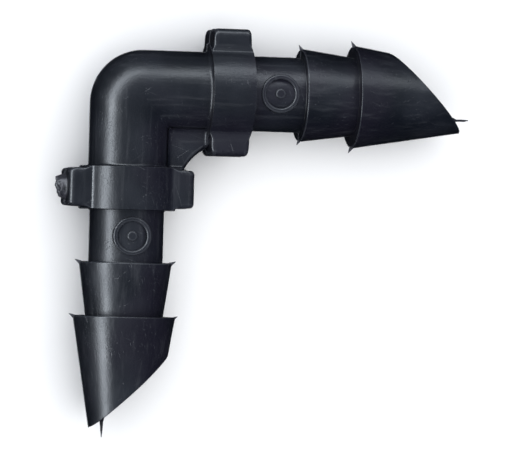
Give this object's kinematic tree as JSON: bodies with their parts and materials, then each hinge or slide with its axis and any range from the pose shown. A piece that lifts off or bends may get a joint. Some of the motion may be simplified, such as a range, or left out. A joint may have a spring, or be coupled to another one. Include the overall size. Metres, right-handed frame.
{
  "type": "barbed elbow connector",
  "caption": "Right-angle barbed elbow for micro-irrigation tube: round bend with a corner web, a lugged stop collar on each arm, and two barbs ending in a slanting cut point.",
  "frame": {"origin": "where the axes of the two waterways cross, in the middle of the bend", "axes": "+X out along arm a, -Y out along arm b, +Z square to both, towards the side with the cavity rings"},
  "size_m": [0.0237, 0.0232, 0.0058],
  "materials": {
    "black_plastic": "satin, as moulded, blue-black",
    "broken_plastic": "matte, broken or torn surface"
  },
  "bodies": {
    "root": {"elbow_bend": "black_plastic", "corner_web": "black_plastic", "stop_collar_a": "black_plastic", "barrel_a": "black_plastic", "middle_barb_a": "black_plastic", "end_barb_a": "black_plastic", "cavity_ring_a": "black_plastic", "tip_flash_a": "broken_plastic", "stop_collar_b": "black_plastic", "barrel_b": "black_plastic", "middle_barb_b": "black_plastic", "end_barb_b": "black_plastic", "cavity_ring_b": "black_plastic", "tip_flash_b": "broken_plastic", "gate_stub": "broken_plastic"}
  },
  "joints": []
}
